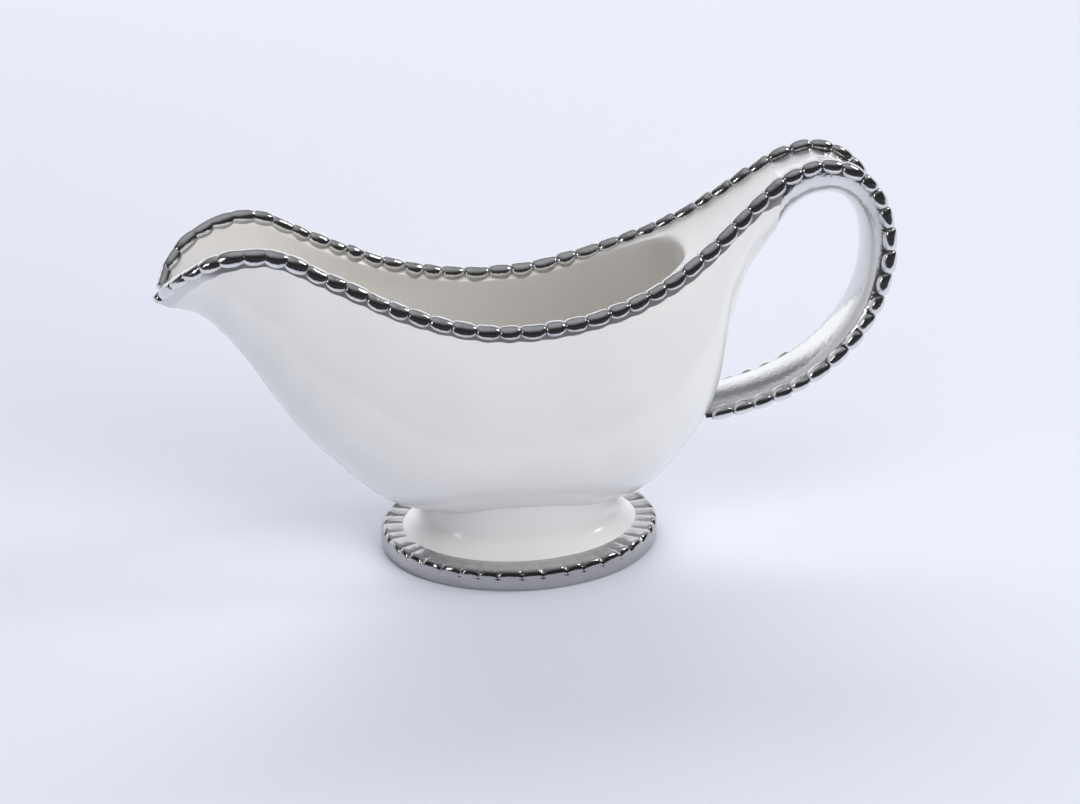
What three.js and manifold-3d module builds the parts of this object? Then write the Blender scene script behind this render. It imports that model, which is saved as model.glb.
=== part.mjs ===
// A footed sauce boat: a boat-shaped bowl with a pouring spout, a strap handle that rises out of the
// bowl's back shelf and comes back to its rear wall, beads along every edge, and a ribbed oval foot.
// Millimetres. +X runs from the spout to the handle, +Y across, +Z up. The origin is on the table,
// under the middle of the overall length.
import * as THREE from 'three';
import { mergeVertices } from 'three/addons/utils/BufferGeometryUtils.js';
import Module from 'manifold-3d';

const wasm = await Module();
wasm.setup();

// ---- Driving dimensions ----
const overallLength = 233; // tip of the spout bead to the back of the handle
const overallHeight = 125.6; // table to the top of the handle's beads
const rimWidth = 51.3; // over the beads, where the rim is lowest
const bellyWidth = 63; // widest part of the bowl, below the rim

const beadRadius = 2.35;
const beadNeckRadius = 1.7; // radius of the pinch between two beads
const beadPitch = 6.87;

const edgeWidth = 1.6; // how far the bowl and the strap reach out past the line of the beads
const wall = 3.8; // thickness of the bowl's side
const floorThickness = 4;
const shelfDip = 1.2; // hollow of the shelf and the strap between the two rows of beads
const dipAtTip = 0.3; // but no more than this share of the rim's half width, near the spout's tip
const hollowRise = 3 * beadRadius; // how far the bowl's hollow runs on above the rim, to open it

const footX = -2.85; // the foot's centre, just on the spout's side of the middle
const footLength = 87.8;
const footWidth = 73.4;
const footBandHeight = 4.6; // plain upright band below the ribs
const footCrestHeight = 7.2; // top of the ribs
const footTopHeight = 6.2; // inner end of the ribs, where the stem begins
const ribCount = 40;
const ribDepth = 0.9;
const ribRound = 1; // the ribs' rounded outer shoulder
const ribOverhang = 0.2; // how far the ribs stand out past the band
const ribInnerShare = 0.4; // how deep the grooves still are at the stem, as a share
const footBevel = 0.5; // at the ring's lower outer edge

const stemLength = 75.4; // where the stem leaves the foot ring
const stemWidth = 57.2;
const neckLength = 62; // narrowest part of the stem
const neckWidth = 43;
const neckHeight = 12.5;
const bearingWidth = 4.5; // ledge of the foot ring that carries the stem
const recessHeight = 10; // hollow under the foot
const stemRise = 8; // the stem's side goes on this far above its neck, into the bowl
const stemCrown = 3.5; // and its top above that

const gap = 0.3; // clearance between two touching pieces

// ---- Derived sizes ----
const reach = overallLength / 2 - beadRadius; // bead line's furthest X
const crest = overallHeight - beadRadius; // bead line's highest Z
const rimHalf = rimWidth / 2 - beadRadius;
const bellyHalf = bellyWidth / 2;
const ledgeLength = stemLength - 2 * bearingWidth; // the foot ring's opening
const ledgeWidth = stemWidth - 2 * bearingWidth;

// ---- Stations that shape the bowl, from the spout's tip to its joint with the handle ----
// Rim x, rim z and rim half width, keel x and keel z, then how wide the section is low down and at
// the belly. They are shares of reach (x), crest (z), rimHalf (half width) and bellyHalf (the last two).
const bowlStations = [
  [-1.000, 0.763, 0.000, -0.996, 0.743, 0.03, 0.05],
  [-0.988, 0.798, 0.197, -0.976, 0.736, 0.10, 0.15],
  [-0.956, 0.838, 0.356, -0.944, 0.731, 0.18, 0.27],
  [-0.904, 0.877, 0.498, -0.889, 0.709, 0.26, 0.39],
  [-0.819, 0.909, 0.618, -0.834, 0.656, 0.36, 0.52],
  [-0.709, 0.905, 0.682, -0.778, 0.586, 0.44, 0.59],
  [-0.547, 0.823, 0.721, -0.698, 0.462, 0.54, 0.76],
  [-0.356, 0.732, 0.867, -0.575, 0.312, 0.76, 0.98],
  [-0.163, 0.679, 0.979, -0.375, 0.150, 0.98, 1.17],
  [0.029, 0.673, 1.000, -0.049, 0.114, 1.08, 1.21],
  [0.222, 0.709, 0.974, 0.264, 0.130, 1.05, 1.19],
  [0.371, 0.763, 0.833, 0.410, 0.239, 0.88, 1.08],
  [0.485, 0.826, 0.648, 0.501, 0.361, 0.63, 0.89],
  [0.564, 0.884, 0.515, 0.533, 0.519, 0.45, 0.63],
  [0.635, 0.935, 0.421, 0.585, 0.682, 0.34, 0.44],
  [0.686, 0.968, 0.386, 0.658, 0.802, 0.30, 0.35],
];
const bellyHeight = 0.55; // where the belly is shaped, from keel to rim

// The strap goes on from there: x, z and half width of its beads, as above, and its thickness in mm.
const strapStations = [
  [0.735, 0.987, 0.373, 13.4],
  [0.800, 1.000, 0.365, 12],
  [0.884, 0.978, 0.369, 11],
  [0.946, 0.925, 0.373, 9.6],
  [0.988, 0.836, 0.382, 7.9],
  [0.998, 0.746, 0.386, 7],
  [0.975, 0.629, 0.386, 6],
  [0.915, 0.524, 0.386, 5.2],
  [0.802, 0.425, 0.386, 4.4],
  [0.687, 0.372, 0.386, 4.2],
  [0.564, 0.342, 0.386, 4.4],
  [0.436, 0.330, 0.386, 4.8],
];
const strapLowWidth = 0.65; // the strap's round inner side, as shares of its width
const strapBellyWidth = 0.98;

// The hollow of the bowl narrows to a round end in front of the shelf. Rows: station, half width at
// the rim as a share of the rim's own, keel x and keel z as above.
const hollowEnd = [
  [10, 0.87, 0.225, 0.175],
  [10.6, 0.78, 0.315, 0.215],
  [11, 0.70, 0.365, 0.265],
  [11.3, 0.54, 0.400, 0.330],
  [11.45, 0.26, 0.418, 0.395],
];
const bodyStart = 1 / 3; // station of the bowl's own blunt tip, just behind the spout bead
const hollowStart = 0.6; // station where the pouring channel begins, just behind the spout bead
const channelRim = 0.45; // in the narrow spout the hollow keeps at least these shares of the bowl's
const channelLow = 0.5; // own width at the rim, low down and at the belly
const channelBelly = 0.6;
const tipFloor = 0.6; // floor thickness at the tip, as a share of the bowl's
const floorGrowth = 0.1; // and what each station adds to it

const white = new THREE.MeshStandardMaterial({ color: 0xf1f0ec, roughness: 0.12, metalness: 0 });
const silver = new THREE.MeshStandardMaterial({ color: 0xb9b7b4, roughness: 0.12, metalness: 1 });

// ---- Curves through the stations ----
const jointStation = bowlStations.length - 1;
const beadPoints = [...bowlStations, ...strapStations]
  .map(([x, z, w]) => new THREE.Vector3(x * reach, w * rimHalf, z * crest));
const lastStation = beadPoints.length - 1;
const lengthSteps = 2000;
const beadLine = new THREE.CatmullRomCurve3(beadPoints);
beadLine.arcLengthDivisions = lengthSteps;

function beadPoint(station) {
  return beadLine.getPoint(station / lastStation);
}

// The strap's under side lies inside the loop, square to the line of its beads.
function underStrap(station, thickness) {
  const tangent = beadLine.getTangent(station / lastStation).setY(0).normalize();
  const inward = new THREE.Vector3(tangent.z, 0, -tangent.x);
  return beadPoint(station).setY(0).addScaledVector(inward, thickness);
}

const keelLine = new THREE.CatmullRomCurve3([
  ...bowlStations.map((row) => new THREE.Vector3(row[3] * reach, 0, row[4] * crest)),
  ...strapStations.map((row, i) => underStrap(jointStation + 1 + i, row[3])),
]);
const fullness = new THREE.CatmullRomCurve3([
  ...bowlStations.map((row) => new THREE.Vector3(row[5] * bellyHalf, row[6] * bellyHalf, 0)),
  ...strapStations.map((row) => {
    const width = row[2] * rimHalf + edgeWidth;
    return new THREE.Vector3(width * strapLowWidth, width * strapBellyWidth, 0);
  }),
]);

// Length along the bead line from the spout's tip to a station.
function distanceTo(station) {
  return beadLine.getLengths()[Math.round((station / lastStation) * lengthSteps)];
}

// ---- Cross-sections, each a closed outline in its own slanted plane ----
// The half outline runs from the keel to the rim as one cubic curve.
function halfOutline(low, belly, rim, steps) {
  const curve = new THREE.CubicBezierCurve(
    new THREE.Vector2(0, 0),
    new THREE.Vector2(low, 0),
    new THREE.Vector2(belly, bellyHeight),
    new THREE.Vector2(rim, 1),
  );
  return curve.getPoints(steps);
}

// Places points across and up the section's plane, from its keel to the middle of its rim.
function placer(keel, rimMiddle) {
  const up = new THREE.Vector3().subVectors(rimMiddle, keel);
  const upward = up.clone().normalize();
  return (across, height, higher = 0) => keel.clone()
    .addScaledVector(up, height)
    .addScaledVector(upward, higher)
    .setY(across);
}

// Up the far side from the keel, over the dished top and down the near side.
function section(station, steps) {
  const rim = beadPoint(station);
  const full = fullness.getPoint(station / lastStation);
  const place = placer(keelLine.getPoint(station / lastStation), rim.clone().setY(0));
  const half = rim.y + edgeWidth;
  const outline = halfOutline(full.x, full.y, half, steps);
  const dip = Math.min(shelfDip, rim.y * dipAtTip);
  return [
    ...outline.map((point) => place(point.x, point.y)),
    place(half * 0.5, 1, -dip * 0.75),
    place(0, 1, -dip),
    place(-half * 0.5, 1, -dip * 0.75),
    ...outline.slice(1).reverse().map((point) => place(-point.x, point.y)),
  ];
}

// ---- Solids ----
function closedGeometry(points, faces) {
  const geometry = new THREE.BufferGeometry();
  geometry.setAttribute('position', new THREE.Float32BufferAttribute(points.flatMap((p) => p.toArray()), 3));
  geometry.setIndex(faces.flat());
  return geometry;
}

// Skin over a row of closed sections, with a flat end on each side.
function loft(sections) {
  const size = sections[0].length;
  const points = sections.flat();
  const faces = [];
  const at = (ring, i) => ring * size + (i % size);
  for (let ring = 0; ring + 1 < sections.length; ring += 1) {
    for (let i = 0; i < size; i += 1) {
      faces.push([at(ring, i), at(ring + 1, i), at(ring + 1, i + 1)]);
      faces.push([at(ring, i), at(ring + 1, i + 1), at(ring, i + 1)]);
    }
  }
  const last = sections.length - 1;
  const centre = (section) => section
    .reduce((sum, point) => sum.add(point), new THREE.Vector3())
    .divideScalar(size);
  const start = points.push(centre(sections[0])) - 1;
  const end = points.push(centre(sections[last])) - 1;
  for (let i = 0; i < size; i += 1) {
    faces.push([start, at(0, i), at(0, i + 1)]);
    faces.push([end, at(last, i + 1), at(last, i)]);
  }
  return closedGeometry(points, faces);
}

// Skin over a ring of closed sections, the last joined to the first.
function hoop(sections) {
  const size = sections[0].length;
  const count = sections.length;
  const at = (ring, i) => (ring % count) * size + (i % size);
  const faces = [];
  for (let ring = 0; ring < count; ring += 1) {
    for (let i = 0; i < size; i += 1) {
      faces.push([at(ring, i), at(ring + 1, i), at(ring + 1, i + 1)]);
      faces.push([at(ring, i), at(ring + 1, i + 1), at(ring, i + 1)]);
    }
  }
  return closedGeometry(sections.flat(), faces);
}

function signedVolume(geometry) {
  const position = geometry.getAttribute('position');
  const index = geometry.getIndex();
  const corner = [new THREE.Vector3(), new THREE.Vector3(), new THREE.Vector3()];
  let sum = 0;
  for (let i = 0; i < index.count; i += 3) {
    corner.forEach((point, k) => point.fromBufferAttribute(position, index.getX(i + k)));
    sum += corner[0].dot(corner[1].clone().cross(corner[2])) / 6;
  }
  return sum;
}

function facingOut(geometry) {
  if (signedVolume(geometry) < 0) {
    const index = geometry.getIndex();
    for (let i = 0; i < index.count; i += 3) {
      const second = index.getX(i + 1);
      index.setX(i + 1, index.getX(i + 2));
      index.setX(i + 2, second);
    }
  }
  return geometry;
}

// The same skin moved outwards by a distance.
function grown(geometry, distance) {
  const bigger = geometry.clone();
  bigger.computeVertexNormals();
  const position = bigger.getAttribute('position');
  const normal = bigger.getAttribute('normal');
  for (let i = 0; i < position.count; i += 1) {
    const point = new THREE.Vector3().fromBufferAttribute(position, i);
    point.addScaledVector(new THREE.Vector3().fromBufferAttribute(normal, i), distance);
    position.setXYZ(i, point.x, point.y, point.z);
  }
  bigger.deleteAttribute('normal');
  return bigger;
}

function toSolid(geometry) {
  const bare = geometry.clone();
  bare.deleteAttribute('normal');
  bare.deleteAttribute('uv');
  const merged = mergeVertices(bare, 1e-4);
  return new wasm.Manifold(new wasm.Mesh({
    numProp: 3,
    vertProperties: new Float32Array(merged.getAttribute('position').array),
    triVerts: new Uint32Array(merged.getIndex().array),
  }));
}

function toGeometry(solid) {
  const mesh = solid.getMesh();
  const geometry = new THREE.BufferGeometry();
  geometry.setAttribute('position', new THREE.Float32BufferAttribute(mesh.vertProperties, 3));
  geometry.setIndex(Array.from(mesh.triVerts));
  geometry.computeVertexNormals();
  return geometry;
}

function mirrored(geometry) {
  const copy = geometry.clone();
  copy.scale(1, -1, 1);
  return facingOut(copy);
}

// ---- Bowl ----
const stationSteps = 3; // sections per station
const bowlOutline = 9; // straight runs in half of a section
const strapOutline = 6;

function skin(from, to, perStation, steps) {
  const count = Math.round((to - from) * perStation);
  const sections = [];
  for (let i = 0; i <= count; i += 1) {
    sections.push(section(THREE.MathUtils.lerp(from, to, i / count), steps));
  }
  return facingOut(loft(sections));
}

// The hollow runs on above the rim, so that it opens the top.
function hollowSection(station, half, keel, low, belly) {
  const place = placer(keel, beadPoint(station).setY(0));
  const outline = halfOutline(low, belly, half, bowlOutline - 1);
  return [
    ...outline.map((point) => place(point.x, point.y)),
    place(half, 1, hollowRise),
    place(-half, 1, hollowRise),
    ...outline.slice(1).reverse().map((point) => place(-point.x, point.y)),
  ];
}

// The hollow follows the bowl inside its wall, then closes under the front of the shelf.
function bowlHollow() {
  const sections = [];
  const followed = [hollowStart, 1, 1.5, 2, 2.5, 3, 3.5, 4, 5, 6, 7, 8, 9];
  for (const station of followed) {
    const rim = beadPoint(station);
    const keel = keelLine.getPoint(station / lastStation);
    const full = fullness.getPoint(station / lastStation);
    const upward = new THREE.Vector3().subVectors(rim.clone().setY(0), keel).normalize();
    const lift = floorThickness * Math.min(1, tipFloor + station * floorGrowth);
    sections.push(hollowSection(
      station,
      Math.max(rim.y + edgeWidth - wall, rim.y * channelRim),
      keel.clone().addScaledVector(upward, lift),
      Math.max(full.x - wall, full.x * channelLow),
      Math.max(full.y - wall, full.y * channelBelly),
    ));
  }
  for (const [station, share, keelX, keelZ] of hollowEnd) {
    const full = fullness.getPoint(station / lastStation);
    const narrowing = (1 + share) / 2;
    sections.push(hollowSection(
      station,
      share * beadPoint(station).y,
      new THREE.Vector3(keelX * reach, 0, keelZ * crest),
      (full.x - wall) * narrowing,
      (full.y - wall) * narrowing,
    ));
  }
  return facingOut(loft(sections));
}

// ---- Beads ----
// A row of beads is one turned string: full at the middle of each bead and pinched between two.
function ringAround(distance, radius, sides) {
  const u = distance / beadLine.getLength();
  const centre = beadLine.getPointAt(u);
  const tangent = beadLine.getTangentAt(u);
  const across = new THREE.Vector3(0, 1, 0).addScaledVector(tangent, -tangent.y).normalize();
  const outward = new THREE.Vector3().crossVectors(tangent, across);
  const ring = [];
  for (let i = 0; i < sides; i += 1) {
    const angle = ((i + 0.5) / sides) * 2 * Math.PI;
    ring.push(centre.clone()
      .addScaledVector(across, radius * Math.cos(angle))
      .addScaledVector(outward, radius * Math.sin(angle)));
  }
  return ring;
}

const beadSides = 8;

function beadRow(from, to) {
  const beads = Math.round((to - from) / beadPitch);
  const pitch = (to - from - gap) / beads;
  const ringsPerBead = 3;
  const sections = [];
  for (let i = 0; i <= beads * ringsPerBead; i += 1) {
    const radius = i % ringsPerBead === 0 ? beadNeckRadius : beadRadius;
    sections.push(ringAround(from + gap / 2 + (i / ringsPerBead) * pitch, radius, beadSides));
  }
  return facingOut(loft(sections));
}

// The groove that a row of beads lies in, cut out of the bowl and the strap.
function beadSeat(from, to) {
  const steps = Math.ceil((to - from) / (beadPitch / 2));
  const radius = (beadRadius + gap) / Math.cos(Math.PI / beadSides);
  const sections = [];
  for (let i = 0; i <= steps; i += 1) {
    sections.push(ringAround(from + (i / steps) * (to - from), radius, beadSides));
  }
  return facingOut(loft(sections));
}

const tipHalfLength = beadPitch / 2;
const bowlBeads = Math.round((distanceTo(jointStation) - tipHalfLength) / beadPitch);
const jointDistance = tipHalfLength + bowlBeads * beadPitch;
const wallDistance = distanceTo(lastStation) - beadPitch;
const strapStart = jointStation + gap / (distanceTo(jointStation + 1) - distanceTo(jointStation));

// ---- Foot ----
const around = 2 * ribCount;

function oval(length, width, height, out = 0) {
  const ring = [];
  for (let i = 0; i < around; i += 1) {
    const angle = (i / around) * 2 * Math.PI;
    ring.push(new THREE.Vector3(
      footX + (length / 2 + out) * Math.cos(angle),
      (width / 2 + out) * Math.sin(angle),
      height,
    ));
  }
  return ring;
}

// Ribs run across the sloped top of the ring; every second point of an oval is a groove.
function ribbed(length, width, height, depth, out) {
  return oval(length, width, height, out).map((point, i) => {
    const groove = i % 2 === 0 ? 0 : depth;
    const inward = new THREE.Vector3(footX - point.x, -point.y, 0).normalize();
    return point.addScaledVector(inward, groove * 0.5).setZ(point.z - groove);
  });
}

function footRing() {
  const rings = [
    oval(ledgeLength, ledgeWidth, 0),
    oval(footLength, footWidth, 0, -footBevel),
    oval(footLength, footWidth, 2 * footBevel),
    oval(footLength, footWidth, footBandHeight),
    ribbed(footLength, footWidth, footCrestHeight - ribRound, ribDepth, ribOverhang),
    ribbed(footLength, footWidth, footCrestHeight, ribDepth, -1.6 * ribRound),
    ribbed(stemLength, stemWidth, footTopHeight + 0.7 * ribRound, ribDepth * ribInnerShare, 1.7 * ribRound),
    oval(stemLength, stemWidth, footTopHeight),
    oval(ledgeLength, ledgeWidth, footTopHeight),
  ];
  return facingOut(hoop(rings));
}

function footStem() {
  const seat = footTopHeight + gap;
  const rise = (share) => THREE.MathUtils.lerp(seat, neckHeight, share);
  const between = (share) => [
    THREE.MathUtils.lerp(stemLength, neckLength, share),
    THREE.MathUtils.lerp(stemWidth, neckWidth, share),
  ];
  const rings = [
    oval(ledgeLength * 0.5, ledgeWidth * 0.5, recessHeight),
    oval(ledgeLength * 0.9, ledgeWidth * 0.9, recessHeight * 0.85),
    oval(ledgeLength, ledgeWidth, seat),
    oval(stemLength, stemWidth, seat),
    oval(...between(0.45), rise(0.18)),
    oval(...between(0.8), rise(0.5)),
    oval(neckLength, neckWidth, neckHeight),
    oval(neckLength, neckWidth, neckHeight + stemRise / 2, 0.3),
    oval(neckLength, neckWidth, neckHeight + stemRise, 1),
    oval(neckLength * 0.75, neckWidth * 0.75, neckHeight + stemRise + stemCrown),
  ];
  return facingOut(loft(rings));
}

// ---- Cut and place the pieces ----
const body = skin(bodyStart, jointStation, stationSteps, bowlOutline);
const bodyForCuts = toSolid(grown(body, gap));
const rimSeat = beadSeat(0, distanceTo(jointStation) + beadPitch);
const strapSeat = beadSeat(jointDistance - beadPitch, distanceTo(lastStation));

// The single bead at the spout's tip. Its seat is a little larger, for the flats of the ball.
const ballFlats = 1.06;

function tipBall(radius) {
  const ball = new THREE.SphereGeometry(radius, 12, 8);
  const tip = beadPoint(0);
  return ball.translate(tip.x, 0, tip.z);
}

const bowl = toSolid(body)
  .subtract(toSolid(bowlHollow()))
  .subtract(toSolid(rimSeat))
  .subtract(toSolid(mirrored(rimSeat)))
  .subtract(toSolid(tipBall((beadRadius + gap) * ballFlats)));
const handle = toSolid(skin(strapStart, lastStation, stationSteps, strapOutline))
  .subtract(toSolid(strapSeat))
  .subtract(toSolid(mirrored(strapSeat)))
  .subtract(bodyForCuts);
const stem = toSolid(footStem()).subtract(bodyForCuts);
const rimBeads = beadRow(tipHalfLength, jointDistance);
const strapBeads = toGeometry(toSolid(beadRow(jointDistance, wallDistance)).subtract(bodyForCuts));

const sauceBoat = new THREE.Group();

function addPiece(name, geometry, material) {
  const mesh = new THREE.Mesh(geometry, material.clone());
  mesh.name = name;
  sauceBoat.add(mesh);
}

addPiece('bowl', toGeometry(bowl), white);
addPiece('foot_stem', toGeometry(stem), white);
addPiece('foot_ring', footRing(), silver);
addPiece('handle', toGeometry(handle), silver);
addPiece('spout_bead', tipBall(beadRadius), silver);
addPiece('rim_beads_left', rimBeads, silver);
addPiece('rim_beads_right', mirrored(rimBeads), silver);
addPiece('handle_beads_left', strapBeads, silver);
addPiece('handle_beads_right', mirrored(strapBeads), silver);

export default sauceBoat;
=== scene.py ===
import math
import random

import bpy
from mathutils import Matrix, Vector, noise


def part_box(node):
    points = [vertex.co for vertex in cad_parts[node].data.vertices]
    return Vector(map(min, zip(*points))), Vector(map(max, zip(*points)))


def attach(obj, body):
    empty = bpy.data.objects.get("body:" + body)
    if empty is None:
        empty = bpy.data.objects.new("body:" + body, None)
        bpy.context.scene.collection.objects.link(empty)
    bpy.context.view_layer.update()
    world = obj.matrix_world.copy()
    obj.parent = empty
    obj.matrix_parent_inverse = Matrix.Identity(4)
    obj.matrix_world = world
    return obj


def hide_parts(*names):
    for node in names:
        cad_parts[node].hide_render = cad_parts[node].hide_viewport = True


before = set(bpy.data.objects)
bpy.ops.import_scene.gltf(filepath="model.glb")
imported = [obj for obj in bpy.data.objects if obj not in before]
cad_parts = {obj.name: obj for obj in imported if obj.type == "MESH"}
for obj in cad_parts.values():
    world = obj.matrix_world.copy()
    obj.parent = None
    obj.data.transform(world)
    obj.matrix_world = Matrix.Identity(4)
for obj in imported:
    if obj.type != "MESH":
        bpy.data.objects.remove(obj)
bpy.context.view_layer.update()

MM = 0.001

# ---- Sizes ----
spout_low, spout_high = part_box("spout_bead")
ring_low, ring_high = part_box("foot_ring")
stem_low, stem_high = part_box("foot_stem")
TIP_HEIGHT = 0.763  # height of the spout's tip, as a share of the crest
BEAD = (spout_high.z - spout_low.z) / 2
REACH = -(spout_low.x + spout_high.x) / 2
CREST = (spout_low.z + spout_high.z) / 2 / TIP_HEIGHT
RIM_HALF = 23.3 * MM
BELLY_HALF = 31.5 * MM
EDGE = 1.6 * MM  # the bowl and the strap reach out this far past the line of the beads
WALL = 3.8 * MM
FLOOR = 4 * MM
SHELF_DIP = 1.2 * MM
DIP_SHARE = 0.3  # a narrow shelf dips by no more than this share of its half width
BEAD_PITCH = 6.87 * MM
BELLY_HEIGHT = 0.55  # of the way from the keel to the rim

# ---- Stations from the spout's tip to the handle ----
# Rim x, rim z, rim half width, keel x, keel z, low width and belly width: as shares of REACH, CREST,
# RIM_HALF, REACH, CREST, BELLY_HALF and BELLY_HALF.
BOWL = [
    (-1.000, 0.763, 0.000, -0.996, 0.743, 0.03, 0.05),
    (-0.988, 0.798, 0.197, -0.976, 0.736, 0.10, 0.15),
    (-0.956, 0.838, 0.356, -0.944, 0.731, 0.18, 0.27),
    (-0.904, 0.877, 0.498, -0.889, 0.709, 0.26, 0.39),
    (-0.819, 0.909, 0.618, -0.834, 0.656, 0.36, 0.52),
    (-0.709, 0.905, 0.682, -0.778, 0.586, 0.44, 0.59),
    (-0.547, 0.823, 0.721, -0.698, 0.462, 0.54, 0.76),
    (-0.356, 0.732, 0.867, -0.575, 0.312, 0.70, 1.00),
    (-0.163, 0.679, 0.979, -0.375, 0.150, 0.87, 1.19),
    (0.029, 0.673, 1.000, -0.049, 0.114, 1.08, 1.21),
    (0.222, 0.709, 0.974, 0.264, 0.130, 1.05, 1.19),
    (0.371, 0.763, 0.833, 0.410, 0.239, 0.88, 1.08),
    (0.485, 0.826, 0.648, 0.501, 0.361, 0.63, 0.89),
    (0.564, 0.884, 0.515, 0.533, 0.519, 0.45, 0.63),
    (0.635, 0.935, 0.421, 0.585, 0.682, 0.34, 0.44),
    (0.686, 0.968, 0.386, 0.658, 0.802, 0.30, 0.35),
]
# The strap goes on: x, z and half width of its beads, and its thickness in millimetres.
STRAP = [
    (0.735, 0.987, 0.373, 13.4),
    (0.800, 1.000, 0.365, 12),
    (0.884, 0.978, 0.369, 11),
    (0.946, 0.925, 0.373, 9.6),
    (0.988, 0.836, 0.382, 7.9),
    (0.998, 0.746, 0.386, 7),
    (0.975, 0.629, 0.386, 6),
    (0.915, 0.524, 0.386, 5.2),
    (0.802, 0.425, 0.386, 4.4),
    (0.687, 0.372, 0.386, 4.2),
    (0.564, 0.342, 0.386, 4.4),
    (0.436, 0.330, 0.386, 4.8),
]
JOINT = len(BOWL) - 1
LAST = len(BOWL) + len(STRAP) - 1

# The open end of the hollow, in millimetres: x and half width of the opening, x and z of the floor
# below it, and how full the hollow still is there.
HOLLOW_END = [
    (8.0, 21.1, 5.0, 18.6, 1.00),
    (15.0, 21.0, 14.0, 19.5, 1.00),
    (21.4, 20.5, 21.5, 20.8, 1.00),
    (27.4, 19.1, 28.0, 22.5, 0.96),
    (33.2, 17.2, 34.0, 25.3, 0.90),
    (39.3, 15.0, 39.3, 29.6, 0.82),
    (43.6, 12.4, 43.0, 35.0, 0.72),
    (46.4, 9.3, 45.9, 42.0, 0.56),
    (48.2, 5.2, 47.6, 50.0, 0.32),
    (48.9, 0.0, 48.3, 60.0, 0.00),
]
HOLLOW_START = 0.5  # station of the pouring channel's tip
HOLLOW_LEFT = 8  # from this station on the opening has the shape of HOLLOW_END


# ---- Curves ----
def through(points, at):
    """A smooth curve through points, at a place counted in points from the first."""
    last = len(points) - 1
    at = min(max(at, 0), last)
    i = min(int(at), last - 1)
    u = at - i
    p1, p2 = Vector(points[i]), Vector(points[i + 1])
    p0 = Vector(points[i - 1]) if i > 0 else 2 * p1 - p2
    p3 = Vector(points[i + 2]) if i + 2 <= last else 2 * p2 - p1
    d0, d1, d2 = (math.sqrt((b - a).length) or 1e-6 for a, b in ((p0, p1), (p1, p2), (p2, p3)))
    t1 = ((p1 - p0) / d0 - (p2 - p0) / (d0 + d1) + (p2 - p1) / d1) * d1
    t2 = ((p2 - p1) / d1 - (p3 - p1) / (d1 + d2) + (p3 - p2) / d2) * d1
    c2 = 3 * (p2 - p1) - 2 * t1 - t2
    c3 = 2 * (p1 - p2) + t1 + t2
    return p1 + t1 * u + c2 * u * u + c3 * u * u * u


BEAD_LINE = [Vector((x * REACH, w * RIM_HALF, z * CREST)) for x, z, w, *_ in BOWL + STRAP]


def bead_point(station):
    return through(BEAD_LINE, station)


def bead_tangent(station):
    step = 0.01  # of a station
    return (bead_point(station + step) - bead_point(station - step)).normalized()


def under_strap(station, thickness):
    along = bead_tangent(station)
    inward = Vector((along.z, 0, -along.x)).normalized()
    middle = bead_point(station)
    return Vector((middle.x, 0, middle.z)) + inward * thickness


KEEL = [Vector((row[3] * REACH, 0, row[4] * CREST)) for row in BOWL]
KEEL += [under_strap(JOINT + 1 + i, row[3] * MM) for i, row in enumerate(STRAP)]
# Where the strap leaves the bowl its underside turns tightly: station, x and z in millimetres.
UNDER_TURN = [
    (15, 76.6, 98.8),
    (16, 81.5, 105.5),
    (17, 87.6, 110.0),
    (18, 95.1, 111.3),
    (19, 101.1, 108.2),
    (20, 105.3, 101.3),
]
for station, x, z in UNDER_TURN:
    KEEL[station] = Vector((x * MM, 0, z * MM))
STRAP_LOW = 0.65  # the strap's low and belly widths, as shares of its half width
STRAP_BELLY = 0.98
FULL = [Vector((row[5] * BELLY_HALF, row[6] * BELLY_HALF, 0)) for row in BOWL]
for _, _, half, _ in STRAP:
    width = half * RIM_HALF + EDGE
    FULL.append(Vector((width * STRAP_LOW, width * STRAP_BELLY, 0)))


def half_outline(low, belly, rim, t):
    """Across and up, from the keel (t 0) to the rim (t 1), as one cubic curve."""
    s = 1 - t
    across = 3 * s * s * t * low + 3 * s * t * t * belly + t ** 3 * rim
    height = 3 * s * t * t * BELLY_HEIGHT + t ** 3
    return across, height


def placed(keel, rim_middle, across, height):
    point = keel.lerp(rim_middle, height)
    return Vector((point.x, across, point.z))


def outer(station, t, side):
    """A point on the outside of the bowl or the strap."""
    rim = bead_point(station)
    full = through(FULL, station)
    across, height = half_outline(full.x, full.y, rim.y + EDGE, t)
    return placed(through(KEEL, station), Vector((rim.x, 0, rim.z)), side * across, height)


def station_at(x):
    """The station where the rim has this x, up to the top of the handle."""
    low, high = 0.0, JOINT + 2.0
    for _ in range(40):
        middle = (low + high) / 2
        if bead_point(middle).x < x:
            low = middle
        else:
            high = middle
    return low


def shelf_height(x, y):
    """Height of the dished top between the two rows of beads."""
    rim = bead_point(station_at(x))
    share = min(abs(y) / (rim.y + EDGE), 1)
    return rim.z - min(SHELF_DIP, rim.y * DIP_SHARE) * (1 - share * share)


# ---- Lengths along the rim and the strap, and where each bead lies ----
LINE_STEPS = 2600


def line_table():
    """Length of the beads' line from the tip to each step."""
    lengths = [0.0]
    previous = bead_point(0)
    for i in range(1, LINE_STEPS + 1):
        point = bead_point(LAST * i / LINE_STEPS)
        lengths.append(lengths[-1] + (point - previous).length)
        previous = point
    return lengths


LINE = line_table()


def station_of(distance):
    low, high = 0, LINE_STEPS
    while high - low > 1:
        middle = (low + high) // 2
        if LINE[middle] < distance:
            low = middle
        else:
            high = middle
    share = (distance - LINE[low]) / max(LINE[high] - LINE[low], 1e-9)
    return LAST * (low + share) / LINE_STEPS


def distance_of(station):
    return LINE[round(station / LAST * LINE_STEPS)]


LENGTH_SPREAD = 0.13  # a bead is up to this share longer or shorter than the pitch


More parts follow.
